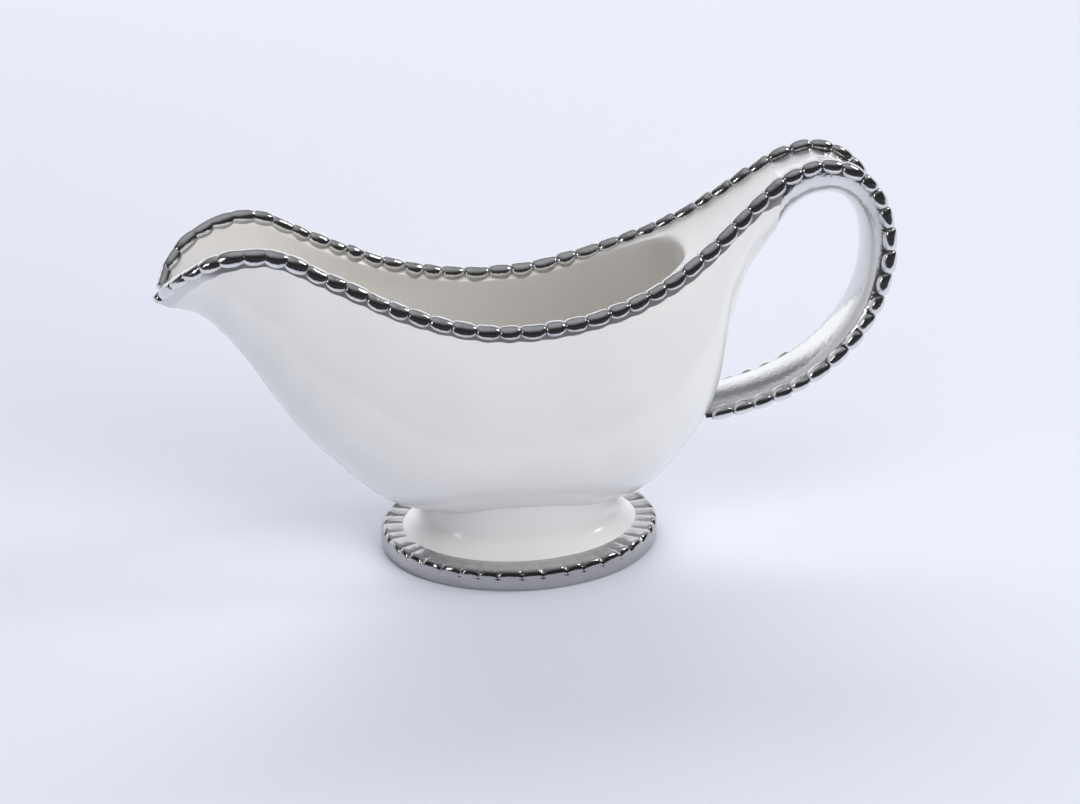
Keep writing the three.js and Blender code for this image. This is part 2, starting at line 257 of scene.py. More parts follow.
def bead_plan(start, end, draws):
    """Where each bead of a row starts along the line, and its length."""
    count = round((end - start) / BEAD_PITCH)
    lengths = [1 + draws.uniform(-LENGTH_SPREAD, LENGTH_SPREAD) for _ in range(count)]
    scale = (end - start) / sum(lengths)
    plan = []
    for length in lengths:
        plan.append((start, length * scale))
        start += length * scale
    return plan


def bead_fullness(plan, distance):
    """1 in the middle of a bead, 0 between two beads."""
    for start, length in plan:
        if start <= distance <= start + length:
            across = 2 * (distance - start) / length - 1
            return 1 - across * across
    return 0.0


draws = random.Random(7)
TIP_GAP = BEAD_PITCH / 2
END_GAP = 1.05 * BEAD_PITCH  # the strap's rows stop this short of its end
RIM_END = TIP_GAP + round((distance_of(JOINT) - TIP_GAP) / BEAD_PITCH) * BEAD_PITCH
ROW_END = LINE[-1] - END_GAP
SIDES = {"left": 1, "right": -1}
RIM_PLANS = {hand: bead_plan(TIP_GAP, RIM_END, draws) for hand in SIDES}
STRAP_PLANS = {hand: bead_plan(RIM_END, ROW_END, draws) for hand in SIDES}


# ---- Making meshes ----
def deselect():
    if bpy.context.object and bpy.context.object.mode != "OBJECT":
        bpy.ops.object.mode_set(mode="OBJECT")
    bpy.ops.object.select_all(action="DESELECT")


def take(piece):
    deselect()
    bpy.context.view_layer.objects.active = piece
    piece.select_set(True)


def tidy(piece, smooth=40):
    """Merges doubles, turns faces outwards and shades smooth up to an angle in degrees."""
    take(piece)
    bpy.ops.object.mode_set(mode="EDIT")
    bpy.ops.mesh.select_all(action="SELECT")
    bpy.ops.mesh.remove_doubles(threshold=1e-6)
    bpy.ops.mesh.dissolve_degenerate(threshold=1e-7)
    bpy.ops.mesh.normals_make_consistent(inside=False)
    bpy.ops.object.mode_set(mode="OBJECT")
    bpy.ops.object.shade_smooth_by_angle(angle=math.radians(smooth))
    deselect()


def skin(name, rings, around=True, lids=(False, False)):
    """A skin over rings of points. A lid closes the first or the last ring with a fan."""
    size = len(rings[0])
    points = [point for ring in rings for point in ring]
    wraps = size if around else size - 1
    faces = []
    for r in range(len(rings) - 1):
        for i in range(wraps):
            k = (i + 1) % size
            faces.append((r * size + i, r * size + k, (r + 1) * size + k, (r + 1) * size + i))
    for lid, r in zip(lids, (0, len(rings) - 1)):
        if lid:
            points.append(sum(rings[r], Vector()) / size)
            middle = len(points) - 1
            faces += [(middle, r * size + i, r * size + (i + 1) % size) for i in range(size)]
    mesh = bpy.data.meshes.new(name)
    mesh.from_pydata(points, [], faces)
    piece = bpy.data.objects.new(name, mesh)
    bpy.context.scene.collection.objects.link(piece)
    return piece


def ease(low, high, value):
    """0 up to low and 1 from high on, with a smooth change between them."""
    share = min(max((value - low) / (high - low), 0), 1)
    return share * share * (3 - 2 * share)


BROAD_DENT = 17 * MM  # size of a dent across the surface
FINE_DENT = 8 * MM
FINE_SHIFT = Vector((7, 3, 1))  # keeps the fine dents off the broad ones
BROAD_DEPTH = 0.62  # in millimetres
FINE_DEPTH = 0.20


def hand_pressed(point):
    """The shallow unevenness of hand-finished clay, as a distance along the surface's normal."""
    broad = noise.noise(point / BROAD_DENT)
    fine = noise.noise(point / FINE_DENT + FINE_SHIFT)
    return (BROAD_DEPTH * broad + FINE_DEPTH * fine) * MM


# ---- Lustre painted on the bowl under the beads ----
# Station and how far below the rim the lustre reaches, in millimetres along the wall.
LUSTRE = [
    (0.0, 14.0),
    (0.6, 12.5),
    (1.0, 10.8),
    (1.5, 8.6),
    (2.0, 6.7),
    (2.6, 5.4),
    (3.2, 4.7),
    (4.0, 4.0),
    (5.0, 3.3),
    (6.0, 2.8),
    (7.0, 2.5),
    (8.5, 2.4),
    (9.5, 2.6),
    (10.3, 2.9),
    (11.0, 3.1),
    (12.5, 3.4),
    (13.8, 4.8),
    (14.6, 6.2),
    (15.0, 7.6),
]
SCALLOP = 0.55 * MM  # how much further it reaches under the middle of a bead


def lustre_depth(station):
    for (s0, d0), (s1, d1) in zip(LUSTRE, LUSTRE[1:]):
        if station <= s1:
            return (d0 + (d1 - d0) * ease(s0, s1, station)) * MM
    return LUSTRE[-1][1] * MM


# ---- Bowl ----
PER_STATION = 12
OUTER_LEVELS = 40
HOLLOW_LEVELS = 30
ACROSS = 8  # half of the points across the joint with the handle
OPENING_STATIONS = (HOLLOW_START, 0.62, 0.8, 1, 1.5, 2, 2.5, 3, 3.5, 4, 5, 6, 7, HOLLOW_LEFT)
OPENS_OVER = 0.5  # stations in which the channel widens from its tip to its full width
# The least of the outside's half width, low and belly width that the opening keeps.
LEAST_HALF = 0.45
LEAST_LOW = 0.5
LEAST_BELLY = 0.6
TIP_FLOOR = 0.6  # share of the floor's thickness at the tip, and what each station adds to it
FLOOR_GAIN = 0.1

RINGS_AT = [i / PER_STATION for i in range(JOINT * PER_STATION + 1)]


def opening_rows():
    """Rows of count along the opening, its plan, its floor, and its low and belly widths."""
    rows = []
    for g in OPENING_STATIONS:
        rim = bead_point(g)
        full = through(FULL, g)
        keel = through(KEEL, g)
        up = (Vector((rim.x, 0, rim.z)) - keel).normalized()
        floor = keel + up * FLOOR * min(1, TIP_FLOOR + g * FLOOR_GAIN)
        opened = math.sqrt(min(1, (g - HOLLOW_START) / OPENS_OVER))
        half = max(rim.y + EDGE - WALL, rim.y * LEAST_HALF) * opened
        low = max(full.x - WALL, full.x * LEAST_LOW) * opened
        belly = max(full.y - WALL, full.y * LEAST_BELLY) * opened
        rows.append((g, (rim.x, half, 0), (floor.x, 0, floor.z), (low, belly, 0)))
    for i, (x, half, floor_x, floor_z, fullness) in enumerate(HOLLOW_END):
        full = through(FULL, station_at(x * MM))
        low = (full.x - WALL) * fullness
        belly = (full.y - WALL) * fullness
        g = HOLLOW_LEFT + i + 1
        rows.append((g, (x * MM, half * MM, 0), (floor_x * MM, 0, floor_z * MM), (low, belly, 0)))
    return rows


OPENING = opening_rows()
OPENING_PLAN = [row[1] for row in OPENING]
OPENING_FLOOR = [row[2] for row in OPENING]
OPENING_FULL = [row[3] for row in OPENING]
OPENING_LAST = OPENING[-1][0]


def opening_place(g):
    """Turns a station-like count into a place along the opening's rows."""
    for i in range(len(OPENING) - 1):
        low, high = OPENING[i][0], OPENING[i + 1][0]
        if g <= high:
            return i + (g - low) / (high - low)
    return len(OPENING) - 1


def half_loop():
    """Station, share of the half width across the joint (None before it), count along the opening."""
    loop = []
    left = [s for s in RINGS_AT if s > HOLLOW_LEFT]
    steps = len(left) + ACROSS
    for s in RINGS_AT:
        if s < 1:
            loop.append((s, None, HOLLOW_START + (1 - HOLLOW_START) * s))
        elif s <= HOLLOW_LEFT:
            loop.append((s, None, s))
        else:
            share = (left.index(s) + 1) / steps
            loop.append((s, None, HOLLOW_LEFT + share * (OPENING_LAST - HOLLOW_LEFT)))
    for i in range(1, ACROSS + 1):
        share = (len(left) + i) / steps
        loop.append((JOINT, 1 - i / ACROSS, HOLLOW_LEFT + share * (OPENING_LAST - HOLLOW_LEFT)))
    return loop


HALF_LOOP = half_loop()


def whole_loop(half):
    """A half loop of points at +y, and its mirror image back to the start."""
    back = [Vector((p.x, -p.y, p.z)) for p in reversed(half[1:-1])]
    return half + back


def mirrored_values(half):
    """A half loop of numbers, in the order of whole_loop."""
    return half + half[-2:0:-1]


def outer_ring(t):
    """A ring on the outside, from the keel (0) to the rim (1)."""
    half = []
    for station, share, _ in HALF_LOOP:
        point = outer(station, t, 1)
        if share is not None:
            dip = SHELF_DIP * (1 - share * share) * t
            point = Vector((point.x, point.y * share, point.z - dip))
        half.append(point)
    half[0] = Vector((half[0].x, 0, half[0].z))
    return whole_loop(half)


LIP_DROP = 1.9 * MM  # the wall's top falls this much from the beads to the opening
DROP_BEGINS = (0.5, 1.5)  # counts along the opening between which the fall begins, and ends
DROP_ENDS = (10, 13)


def lip_drop(g):
    return LIP_DROP * ease(*DROP_BEGINS, g) * (1 - ease(*DROP_ENDS, g))


def top_ring(inward):
    """A ring on the top, from the outer edge (0) to the opening (1)."""
    half = []
    for station, share, g in HALF_LOOP:
        edge = outer(station, 1, 1)
        y = edge.y if share is None else edge.y * share
        plan = through(OPENING_PLAN, opening_place(g))
        x = edge.x + (plan.x - edge.x) * inward
        y = y + (plan.y - y) * inward
        half.append(Vector((x, y, shelf_height(x, y) - lip_drop(g) * inward * inward)))
    half[0].y = 0
    half[-1].y = 0
    return whole_loop(half)


def hollow_ring(t):
    """A ring in the hollow, from its floor (0) to the opening (1)."""
    half = []
    for _, _, g in HALF_LOOP:
        place = opening_place(g)
        plan = through(OPENING_PLAN, place)
        floor = through(OPENING_FLOOR, place)
        full = through(OPENING_FULL, place)
        across, height = half_outline(max(full.x, 0), max(full.y, 0), max(plan.y, 0), t)
        top = Vector((plan.x, 0, shelf_height(plan.x, plan.y) - lip_drop(g)))
        half.append(placed(floor, top, across, height))
    half[0].y = 0
    half[-1].y = 0
    return whole_loop(half)


TOP_RINGS = [i / 8 for i in range(1, 8)] + [0.93, 0.975]  # shares of the way inwards
LIP_RINGS = [0.985, 0.965, 0.94]  # round the opening's edge into the hollow
HOLLOW_TOP = 0.9
HOLLOW_RINGS = [HOLLOW_TOP * (1 - i / HOLLOW_LEVELS) for i in range(HOLLOW_LEVELS + 1)]
HOLLOW_SHADE_FROM = (1.5, 5.5)  # stations between which the hollow's painted shade, a darker and warmer glaze, comes in
# Shares of the way up the outside between which the unevenness comes in, and goes again.
PRESS_IN = (0, 0.12)
PRESS_OUT = (0.86, 1)
UNPAINTED = 1.0  # run in metres that puts a point far below any lustre


def lustre_reach():
    """How far the lustre reaches down the wall at each point round the bowl."""
    halves = {}
    for hand, plan in RIM_PLANS.items():
        halves[hand] = [
            lustre_depth(station) + SCALLOP * bead_fullness(plan, distance_of(station))
            for station, _, _ in HALF_LOOP
        ]
    return halves["left"] + halves["right"][-2:0:-1]


def mark_bowl(bowl, outside, top, inside):
    """Notes at each point of the bowl's rings how uneven it is, how much painted shade darkens its glaze
    in the hollow, and how far below the lustre it lies, in millimetres."""
    for name in ("press", "hollow", "below_lustre"):
        bowl.data.attributes.new(name, "FLOAT", "POINT")
    values = bowl.data.attributes
    press, hollow, below = values["press"].data, values["hollow"].data, values["below_lustre"].data
    reach = lustre_reach()
    hollow_shade = mirrored_values([ease(*HOLLOW_SHADE_FROM, station) for station, _, _ in HALF_LOOP])
    size = len(reach)
    rim = len(outside) - 1
    lip = len(outside) + len(top)
    for r in range(lip + len(inside)):
        on_outside = r <= rim
        amount = ease(*PRESS_IN, r / rim) * (1 - ease(*PRESS_OUT, r / rim)) if on_outside else 0.0
        for i in range(size):
            run = UNPAINTED
            if on_outside:
                run = sum((outside[k + 1][i] - outside[k][i]).length for k in range(r, rim))
            at = r * size + i
            press[at].value = amount
            # Painted shade: the hollow's darker, warmer glaze comes in along the stations.
            hollow[at].value = hollow_shade[i] if r >= lip else 0.0
            below[at].value = (run - reach[i]) / MM


def make_bowl():
    outside = [outer_ring(i / OUTER_LEVELS) for i in range(OUTER_LEVELS + 1)]
    top = [top_ring(share) for share in TOP_RINGS]
    inside = [hollow_ring(t) for t in LIP_RINGS + HOLLOW_RINGS]
    bowl = skin("bowl_glazed", outside + top + inside)
    mark_bowl(bowl, outside, top, inside)
    tidy(bowl, 60)
    press_clay(bowl)
    return bowl


# The outside is even from here to the handle, and from the tip to here.
EVEN_JOINT = (36 * MM, 54 * MM)
EVEN_TIP = (-110 * MM, -95 * MM)


def press_clay(piece):
    """Moves the outside along its normals by the unevenness, where the press attribute says so."""
    mesh = piece.data
    normals = [v.normal.copy() for v in mesh.vertices]
    amounts = mesh.attributes["press"].data
    for vertex, normal in zip(mesh.vertices, normals):
        fade = amounts[vertex.index].value
        if fade:
            near_joint = 1 - ease(*EVEN_JOINT, vertex.co.x)
            near_tip = ease(*EVEN_TIP, vertex.co.x)
            vertex.co += normal * hand_pressed(vertex.co) * fade * near_joint * near_tip
    mesh.update()


# ---- Strap handle ----
STRAP_STEPS = 14  # rings to a station
STRAP_END = 0.35  # the strap ends this part of a station before the last one
TRIM_FROM = 4  # the cutter's sections start at this one of the bowl's rings, and take every other one
INTO_WALL = 0.8 * MM  # the strap's end runs this deep into the bowl's wall


def strap_section(station, steps=22, across=10):
    """A closed section: up one side from the keel, across the dished top and down the other side."""
    ring = [outer(station, i / steps, 1) for i in range(steps + 1)]
    rim = bead_point(station)
    keel = through(KEEL, station)
    up = (Vector((rim.x, 0, rim.z)) - keel).normalized()
    half = rim.y + EDGE
    for i in range(1, across):
        y = half * (1 - 2 * i / across)
        dip = SHELF_DIP * (1 - (y / half) ** 2)
        ring.append(Vector((rim.x, y, rim.z)) - up * dip)
    ring += [outer(station, i / steps, -1) for i in range(steps, 0, -1)]
    return ring


def make_strap():
    count = int((LAST - STRAP_END - JOINT) * STRAP_STEPS)
    rings = [strap_section(JOINT + i / STRAP_STEPS) for i in range(count + 1)]
    strap = skin("strap_lustred", rings, lids=(True, True))
    tidy(strap, 50)
    return strap


def solid_bowl():
    """The bowl's outside closed over by its shelf, a little smaller, to trim what runs into it."""
    sections = [strap_section(s, steps=24, across=6) for s in RINGS_AT[TRIM_FROM::2]]
    solid = skin("bowl_solid", sections, lids=(True, True))
    tidy(solid)
    normals = [v.normal.copy() for v in solid.data.vertices]
    for vertex, normal in zip(solid.data.vertices, normals):
        vertex.co -= normal * INTO_WALL
    return solid


def trim(piece, cutter):
    """Cuts away what lies inside the cutter."""
    take(piece)
    cut = piece.modifiers.new("trim", "BOOLEAN")
    cut.operation = "DIFFERENCE"
    cut.solver = "EXACT"
    cut.object = cutter
    bpy.ops.object.modifier_apply(modifier="trim")
    deselect()


# ---- Beads ----
BEAD_RINGS = (0.0, 0.02, 0.06, 0.12, 0.2, 0.32, 0.5, 0.68, 0.8, 0.88, 0.94, 0.98)
BEAD_SIDES = 22
RIM_BEAD = 3.05 * MM  # a bead's own radius on the rim, and on the handle
STRAP_BEAD = 2.8 * MM
RIM_RAISED = 0.3 * MM  # the rim's beads stand this much higher where the rim is low
LOW_RIM = (0.78 * CREST, 0.93 * CREST)
TIP_SMALL = 0.76  # the first bead's size against the others
SMALL_TO = 30 * MM
SOFT_SPOUT = 80 * MM  # the beads are softer this far along the rim from the tip
# The coil's radius between two beads, as a share of a bead's: on top and underneath.
RIM_NECKS = (0.66, 0.40)
STRAP_NECKS = (0.48, 0.42)
NECK_SPOUT = 0.80  # by the spout, all round
LEAN_OUT = 0.35  # quarter turns from the top of a bead to the side where its necks are fullest
# How the beads differ, lowest and highest: size, height against width, lift in millimetres, lean of
# the top along the row, how far the fullest part lies off the middle, and how square the bead is.
SIZES = (0.92, 1.0)
FLATS = (0.93, 1.0)
LIFTS = (-0.45, 0.0)
LEANS = (-0.2, 0.2)
SKEWS = (-0.2, 0.2)
SQUARES = (1.9, 2.5)
ROUND_END = 0.5  # power of a bead's outline, which is that of an ellipse, and what softness adds to it
SOFT_END = 0.4
DENTED = 0.06  # share of a bead's radius that is uneven, over patches of this size
DENT = 3.6 * MM


def bead_string(name, plan, full, necks, side, draws):
    """One row of beads pressed from a coil: each is full in the middle and pinched at its ends."""
    rings = []
    for i, (start, length) in enumerate(plan):
        size = full * draws.uniform(*SIZES) * (TIP_SMALL + (1 - TIP_SMALL) * ease(0, SMALL_TO, start))
        flat = draws.uniform(*FLATS)
        lift = draws.uniform(*LIFTS) * MM
        lean = draws.uniform(*LEANS)
        skew = draws.uniform(*SKEWS)
        squareness = draws.uniform(*SQUARES)
        softness = 1 - ease(0.5 * SOFT_SPOUT, SOFT_SPOUT, start)
        neck_above, neck_below = (neck + (NECK_SPOUT - neck) * softness for neck in necks)
        for u in BEAD_RINGS + ((1.0,) if i == len(plan) - 1 else ()):
            at = station_of(start + u * length)
            along = bead_tangent(at)
            across = Vector((0, 1, 0)) - along * along.y
            across.normalize()
            out = along.cross(across)
            place = bead_point(at)
            raised = RIM_RAISED * (1 - ease(*LOW_RIM, place.z))
            lower = full - BEAD  # keeps the row's top where the CAD row's is
            centre = place + out * (raised - lower)
            v = 2 * (u + skew * u * (1 - u)) - 1
            belly = max(1 - abs(v) ** squareness, 0) ** (ROUND_END + SOFT_END * softness)
            swell = math.sin(math.pi * u)
            ring = []
            for k in range(BEAD_SIDES):
                turn = 2 * math.pi * k / BEAD_SIDES
                up = 0.5 + 0.5 * math.sin(turn + 0.5 * math.pi * LEAN_OUT)
                neck = neck_below + (neck_above - neck_below) * up
                radius = size * (neck + (1 - neck) * belly)
                spread = across * math.cos(turn) + out * flat * math.sin(turn)
                point = centre + spread * radius
                uneven = noise.noise(point / DENT + Vector((side, 0, 0)))
                point = centre + spread * radius * (1 - DENTED + DENTED * uneven)
                point += (out * lift + along * lean * radius * math.sin(turn)) * swell
                ring.append(Vector((point.x, point.y * side, point.z)))
            rings.append(ring)
    row = skin(name, rings, lids=(True, True))
    tidy(row, 70)
    return row


TIP_BEAD = 0.92  # the single bead's radius, against the CAD bead's
TIP_SHAPE = (0.96, 1.0, 0.94)


def make_tip_bead():
    centre = bead_point(0)
    deselect()
    radius = BEAD * TIP_BEAD
    bpy.ops.mesh.primitive_uv_sphere_add(segments=28, ring_count=18, radius=radius, location=centre)
    bead = bpy.context.object
    bead.name = "tip_bead_lustred"
    bpy.ops.object.mode_set(mode="EDIT")
    bpy.ops.mesh.select_all(action="SELECT")
    bpy.ops.transform.resize(value=TIP_SHAPE, center_override=centre)
    bpy.ops.object.mode_set(mode="OBJECT")
    bpy.ops.object.transform_apply(location=True, rotation=True, scale=True)
    tidy(bead, 80)
    return bead


# ---- Foot ----
FOOT_X = (ring_low.x + ring_high.x) / 2
FOOT_HALF_LENGTH = (ring_high.x - ring_low.x) / 2
FOOT_HALF_WIDTH = (ring_high.y - ring_low.y) / 2
STEM_HALF_LENGTH = (stem_high.x - stem_low.x) / 2
STEM_HALF_WIDTH = (stem_high.y - stem_low.y) / 2
RIBS = 40
AROUND = RIBS * 16
RIB_SQUARE = 2.7  # power of a rib's outline: 2 is round, and more is squarer
RIB_SPREAD = 0.13  # a groove lies up to this share of a rib's width off its place
RIB_DEPTHS = (0.75, 1.0)
GROOVE = 1.25  # depth of a groove, against the profile's own figures
RING_TOP = 6.0  # in millimetres
DOWN_ON_TOP = 0.9  # shares of a groove's depth that go down on the ring's top, and on its side
DOWN_ON_SIDE = 0.3
SHOULDER = 2.0  # in millimetres from the outer edge, and how much of the depth goes inwards there
INWARDS = 0.6


def oval(half_length, half_width, height, count=AROUND):
    """A level ring round the foot's middle."""
    ring = []
    for i in range(count):
        angle = 2 * math.pi * i / count
        ring.append(Vector((FOOT_X + half_length * math.cos(angle), half_width * math.sin(angle), height)))
    return ring


def rib_grooves(draws):
    """How deep the ring is grooved at each place round it, 0 on a rib to 1 in a groove."""
    edges = [i + draws.uniform(-RIB_SPREAD, RIB_SPREAD) for i in range(RIBS)]
    depths = [draws.uniform(*RIB_DEPTHS) for _ in range(RIBS)]
    edges.append(edges[0] + RIBS)
    depths.append(depths[0])
    grooves = []
    for i in range(AROUND):
        place = i / AROUND * RIBS
        if place < edges[0]:
            place += RIBS
        rib = max(k for k in range(RIBS) if edges[k] <= place)
        share = (place - edges[rib]) / (edges[rib + 1] - edges[rib])
        depth = depths[rib] + (depths[rib + 1] - depths[rib]) * share
        grooves.append(depth * (1 - math.sqrt(max(1 - abs(2 * share - 1) ** RIB_SQUARE, 0))))
    return grooves


# From the stem outwards and down to the table: how far inside the ring's outer edge, height, and
# how deep the grooves are there, in millimetres.
RING_PROFILE = [
    (8.1, 6.5, 0.0),
    (7.4, 6.65, 0.10),
    (6.0, 6.75, 0.22),
    (4.4, 6.8, 0.32),
    (3.0, 6.85, 0.45),
    (2.2, 7.02, 0.62),
    (1.5, 7.12, 0.85),
    (0.98, 6.92, 1.0),
    (0.62, 6.5, 1.0),
    (0.36, 6.0, 0.95),
    (0.18, 5.4, 0.85),
    (0.1, 4.95, 0.6),
    (0.18, 4.65, 0.35),
    (0.2, 4.4, 0.15),
    (0.12, 4.1, 0.0),
    (0.1, 3.0, 0.0),
    (0.1, 1.8, 0.0),
    (0.25, 0.8, 0.0),
    (0.6, 0.25, 0.0),
    (1.2, 0.0, 0.0),
]
LEDGE = 4.5 * MM  # the hollow under the foot is this far inside the stem's outer edge
LEDGE_TOP = 6.2 * MM


def make_foot_ring(draws):
    grooves = rib_grooves(draws)
    rings = []
    for inset, height, depth in RING_PROFILE:
        ring = oval(FOOT_HALF_LENGTH - inset * MM, FOOT_HALF_WIDTH - inset * MM, height * MM)
        for i, point in enumerate(ring):
            inward = Vector((FOOT_X - point.x, -point.y, 0)).normalized()
            cut = grooves[i] * depth * GROOVE * MM
            if inset < SHOULDER:
                point += inward * cut * INWARDS
            point.z -= cut * (DOWN_ON_TOP if height > RING_TOP else DOWN_ON_SIDE)
        rings.append(ring)
    rings.append(oval(STEM_HALF_LENGTH - LEDGE, STEM_HALF_WIDTH - LEDGE, 0.0))
    rings.append(oval(STEM_HALF_LENGTH - LEDGE, STEM_HALF_WIDTH - LEDGE, LEDGE_TOP))
    rings.append(rings[0])
    foot = skin("foot_ring_lustred", rings)
    tidy(foot, 55)
    return foot


# From the ring up into the bowl: share of the way from the stem's foot to its neck, and height.
STEM_PROFILE = [
    (0.0, 6.45),
    (0.10, 6.75),
    (0.26, 7.2),
    (0.44, 7.8),
    (0.62, 8.6),
    (0.78, 9.6),
    (0.90, 10.8),
    (0.97, 12.0),
    (1.0, 13.4),
]
NECK_HALF_LENGTH = 31 * MM
NECK_HALF_WIDTH = 21.5 * MM
LOOK_FROM = 9.38 * MM  # a height that is below the bowl all over the neck
RECESS = 10 * MM
# Under the foot: share of the hollow's half length and half width, and share of the recess's height.
RECESS_PROFILE = [(0.9, 0.85), (0.6, 0.97), (0.3, 1.0)]
TOP_SHARES = (1.0, 0.85, 0.7, 0.5, 0.3, 0.1)  # of the neck's half length and half width
BLEND_UP = (0.35, 0.7)  # rings between the neck and the bowl
INTO_BOWL = 1 * MM  # the stem's top lies this deep in the bowl's floor
STEM_AROUND = 160


def under_bowl(bowl, point):
    """The height at which the underside of the bowl passes over a point."""
    _, place, _, _ = bowl.ray_cast(Vector((point.x, point.y, LOOK_FROM)), Vector((0, 0, 1)))
    return place.z


def make_foot_stem(bowl):
    rings = []
    for share, height in STEM_PROFILE:
        half_length = STEM_HALF_LENGTH + (NECK_HALF_LENGTH - STEM_HALF_LENGTH) * share
        half_width = STEM_HALF_WIDTH + (NECK_HALF_WIDTH - STEM_HALF_WIDTH) * share
        rings.append(oval(half_length, half_width, height * MM, STEM_AROUND))
    neck = rings[-1]
    caps = []
    for share in TOP_SHARES:
        cap = oval(NECK_HALF_LENGTH * share, NECK_HALF_WIDTH * share, 0, STEM_AROUND)
        for point in cap:
            point.z = under_bowl(bowl, point) + INTO_BOWL
        caps.append(cap)
    rings += [[low.lerp(high, up) for low, high in zip(neck, caps[0])] for up in BLEND_UP]
    rings += caps
    inner_length = STEM_HALF_LENGTH - LEDGE
    inner_width = STEM_HALF_WIDTH - LEDGE
    recess = [oval(inner_length, inner_width, STEM_PROFILE[0][1] * MM, STEM_AROUND)]
    for share, height in RECESS_PROFILE:
        recess.append(oval(inner_length * share, inner_width * share, RECESS * height, STEM_AROUND))
    stem = skin("foot_stem_glazed", list(reversed(recess)) + rings, lids=(True, True))
    tidy(stem, 50)
    return stem


# ---- Materials ----
class Signal:
    """A socket of a shader. An expression on signals adds Math nodes."""

    def __init__(self, shader, socket):
        self.shader = shader
        self.socket = socket

    def maths(self, operation, first, second):
        return self.shader.node("ShaderNodeMath", {"operation": operation}, {0: first, 1: second})

    def __add__(self, other):
        return self.maths("ADD", self, other)

    def __radd__(self, other):
        return self.maths("ADD", other, self)

    def __sub__(self, other):
        return self.maths("SUBTRACT", self, other)

    def __rsub__(self, other):
        return self.maths("SUBTRACT", other, self)

    def __mul__(self, other):
        return self.maths("MULTIPLY", self, other)

    def __rmul__(self, other):
        return self.maths("MULTIPLY", other, self)


class Shader:
    """The nodes of a material or of the world."""

    def __init__(self, owner):
        owner.use_nodes = True
        self.owner = owner
        self.tree = owner.node_tree
        self.surface = self.tree.nodes.get("Principled BSDF")

    def node(self, kind, settings=None, inputs=None, output=0):
        """Adds a node, sets it up and gives the signal of one of its outputs."""
        made = self.tree.nodes.new(kind)
        for key, value in (settings or {}).items():
            setattr(made, key, value)
        for key, value in (inputs or {}).items():
            self.feed(made.inputs[key], value)
        return Signal(self, made.outputs[output]) if made.outputs else None

    def feed(self, socket, value):
        if isinstance(value, Signal):
            self.tree.links.new(value.socket, socket)
        else:
            socket.default_value = value

    def set(self, **sockets):
        """Sets or links sockets of the surface, named with _ for a space."""
        for name, value in sockets.items():
            self.feed(self.surface.inputs[name.replace("_", " ")], value)

    def place(self):
        return self.node("ShaderNodeTexCoord", output="Object")

    def noise(self, scale, detail=2.0):
        inputs = {"Vector": self.place(), "Scale": scale, "Detail": detail}
        return self.node("ShaderNodeTexNoise", {}, inputs)

    def blend(self, share, first, second):
        settings = {"data_type": "RGBA"}
        return self.node("ShaderNodeMix", settings, {0: share, 6: first, 7: second}, 2)

    def bump(self, height, strength, distance):
        inputs = {"Height": height, "Strength": strength, "Distance": distance}
        return self.node("ShaderNodeBump", {}, inputs)


# Each finish clouds between two tones.
GLAZE = ((0.845, 0.835, 0.82, 1), (0.885, 0.88, 0.87, 1))
# Painted shade: the hollow's tones are darker and warmer than the outside's glaze.
HOLLOW_SHADE_GLAZE = ((0.825, 0.80, 0.77, 1), (0.845, 0.82, 0.79, 1))
SILVER = ((0.72, 0.715, 0.715, 1), (0.80, 0.795, 0.79, 1))
# Painted shade: a dimmer silver for where it stands close to the table.
SHADED_SILVER = ((0.44, 0.43, 0.43, 1), (0.52, 0.51, 0.51, 1))
SHADE_BELOW = 7.2 * MM  # painted shade: the silver is dim up to this height, and bright from the next one on
UNSHADED_ABOVE = 11 * MM
PAINTED_TONE = (0.70, 0.695, 0.70, 1)
PAINTED_ROUGH = 0.30
THIN = 0.82  # the lustre is thin at its lower edge, and the glaze shows through
EDGE_WANDER = 0.25  # in millimetres, how far the painted edge strays
EDGE_SHARP = -12.0  # how fast the paint ends, for each millimetre down the wall
FLOOR_TONE = (0.80, 0.82, 0.90, 1)


def porcelain():
    """White glaze, with painted shade in the hollow that makes it darker and warmer, and the lustre
    painted on under the beads.
    """
    shader = Shader(bpy.data.materials.new("white_glaze"))
    cloud = shader.noise(34, 3)
    # Painted shade: the hollow attribute blends in the darker, warmer glaze.
    inside = shader.node("ShaderNodeAttribute", {"attribute_name": "hollow"}, {}, 2)
    white = shader.blend(inside, shader.blend(cloud, *GLAZE), shader.blend(cloud, *HOLLOW_SHADE_GLAZE))
    below = shader.node("ShaderNodeAttribute", {"attribute_name": "below_lustre"}, {}, 2)
    edge = below + EDGE_WANDER * shader.noise(300, 1)
    clamped = {"operation": "MULTIPLY", "use_clamp": True}
    painted = shader.node("ShaderNodeMath", clamped, {0: edge, 1: EDGE_SHARP})
    shader.set(Base_Color=shader.blend(painted, white, PAINTED_TONE), Metallic=THIN * painted)
    shader.set(Roughness=(0.16 + 0.06 * shader.noise(160, 2)) * (1 - painted) + PAINTED_ROUGH * painted)
    shader.set(Coat_Weight=0.5 - 0.5 * painted, Coat_Roughness=0.04, IOR=1.5)
    ripple = shader.noise(95, 2) * 0.7 + shader.noise(260, 2) * 0.3
    shader.set(Normal=shader.bump(ripple, 0.35, 0.5 * MM))
    return shader.owner


